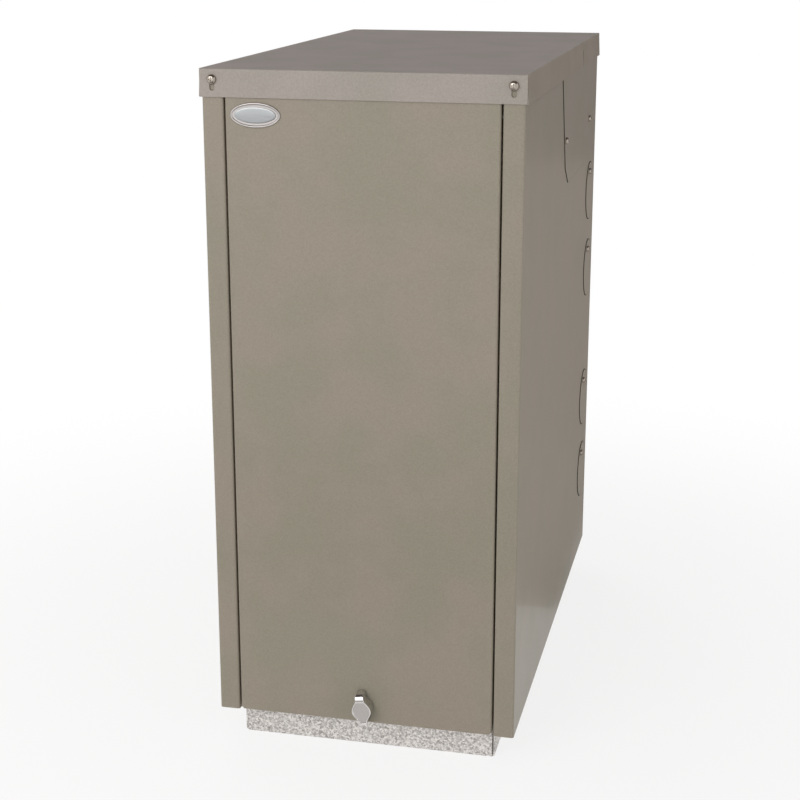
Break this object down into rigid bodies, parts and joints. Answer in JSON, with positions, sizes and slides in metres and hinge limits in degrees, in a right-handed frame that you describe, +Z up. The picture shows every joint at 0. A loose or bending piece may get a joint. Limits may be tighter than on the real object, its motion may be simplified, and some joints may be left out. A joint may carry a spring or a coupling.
{
  "type": "outdoor oil boiler",
  "caption": "Free-standing outdoor oil boiler in a folded sheet casing, with a hook-on front door, a wing lock, and the burner, heat exchanger and controls inside.",
  "frame": {"origin": "on the floor, under the middle of the object's bounding box", "axes": "+X to the right seen from the front, +Y from the door to the rear panel, +Z up"},
  "size_m": [0.4116, 0.8044, 0.8955],
  "materials": {
    "powder_coat": "satin, lightly textured powder coat, olive grey",
    "zinc_coated_steel": "zinc coating with a fine spangle",
    "chrome": "polished chrome plate",
    "badge_metal": "satin face in a polished rim",
    "bright_screws": "bright zinc plate",
    "bare_steel": "plain machined steel",
    "stainless_steel": "brushed stainless steel",
    "boiler_steel": "matt black stove paint on plate",
    "foil_foam": "foam board with a foil face",
    "brass": "machined brass",
    "ceramic_fibre": "vacuum-formed ceramic fibre",
    "cast_aluminium": "as-cast aluminium",
    "motor_enamel": "dark semi-gloss enamel",
    "black_plastic": "moulded black plastic",
    "red_plastic": "moulded red plastic",
    "copper": "drawn copper tube",
    "lamp_plastic": "clear amber lens"
  },
  "bodies": {
    "casing": {"plinth": "zinc_coated_steel", "floor_tray": "zinc_coated_steel", "left_side_panel": "powder_coat", "right_side_panel": "powder_coat", "rear_panel": "powder_coat", "lid": "powder_coat", "front_top_rail": "zinc_coated_steel", "hook_pegs": "bare_steel", "left_flue_cover": "powder_coat", "right_flue_cover": "powder_coat", "left_blanking_discs": "powder_coat", "right_blanking_discs": "powder_coat", "disc_screws": "bright_screws", "flue_cover_screws": "bright_screws", "lid_screws": "bright_screws", "rear_panel_screws": "bright_screws", "left_foam": "foil_foam", "right_foam": "foil_foam", "lid_foam": "foil_foam", "cradle": "boiler_steel", "boiler_shell": "boiler_steel", "firebox": "boiler_steel", "boiler_top_plate": "boiler_steel", "baffles": "bare_steel", "cleaning_cover": "boiler_steel", "cleaning_cover_nuts": "brass", "flow_socket": "brass", "return_socket": "brass", "drain_plug": "brass", "combustion_door": "boiler_steel", "combustion_door_block": "ceramic_fibre", "combustion_door_nuts": "bare_steel", "condenser": "stainless_steel", "flue_spigot": "stainless_steel", "flue_collar": "powder_coat", "condensate_trap": "black_plastic", "blast_tube": "bare_steel", "burner_flange": "cast_aluminium", "burner_housing": "cast_aluminium", "burner_motor": "motor_enamel", "pump_bracket": "cast_aluminium", "oil_pump": "cast_aluminium", "burner_control_box": "black_plastic", "oil_valve": "brass", "oil_pipe": "copper", "control_box": "zinc_coated_steel", "indicator_lamps": "lamp_plastic"},
    "door": {"door_panel": "powder_coat", "door_foam": "foil_foam", "badge_plate": "badge_metal", "lock_barrel": "chrome", "lock_nut": "bare_steel"},
    "lock": {"lock_knob": "chrome", "lock_cam": "bare_steel"},
    "thermostat_knob": {"thermostat_knob": "black_plastic"},
    "rocker_switch": {"rocker_switch": "black_plastic"},
    "overheat_button": {"overheat_button": "red_plastic"},
    "burner_reset_button": {"burner_reset_button": "red_plastic"},
    "fan": {"fan_wheel": "bare_steel"},
    "valve_lever": {"valve_lever": "red_plastic"}
  },
  "joints": [
    {"name": "door_tilt", "type": "hinge", "parent": "casing", "child": "door", "pos_m": [0, -0.37175, 0.845], "axis": [-1, 0, 0], "range_deg": [0, 35]},
    {"name": "lock_turn", "type": "hinge", "parent": "door", "child": "lock", "pos_m": [0, -0.38375, 0.068], "axis": [0, 1, 0], "range_deg": [0, 90]},
    {"name": "thermostat_turn", "type": "hinge", "parent": "casing", "child": "thermostat_knob", "pos_m": [-0.0713, -0.34175, 0.8155], "axis": [0, 1, 0], "range_deg": [-135, 135]},
    {"name": "rocker_tip", "type": "hinge", "parent": "casing", "child": "rocker_switch", "pos_m": [0, -0.33575, 0.8155], "axis": [1, 0, 0], "range_deg": [0, 14]},
    {"name": "overheat_press", "type": "slide", "parent": "casing", "child": "overheat_button", "axis": [0, 1, 0], "range_m": [0, 0.003], "stiffness_N_per_m": 500},
    {"name": "burner_reset_press", "type": "slide", "parent": "casing", "child": "burner_reset_button", "axis": [0, 1, 0], "range_m": [0, 0.003], "stiffness_N_per_m": 500},
    {"name": "fan_spin", "type": "hinge", "parent": "casing", "child": "fan", "pos_m": [0, -0.17175, 0.1895], "axis": [1, 0, 0], "continuous": true},
    {"name": "valve_turn", "type": "hinge", "parent": "casing", "child": "valve_lever", "pos_m": [0.08, -0.32175, 0.1175], "axis": [0, 1, 0], "range_deg": [0, 90]}
  ]
}
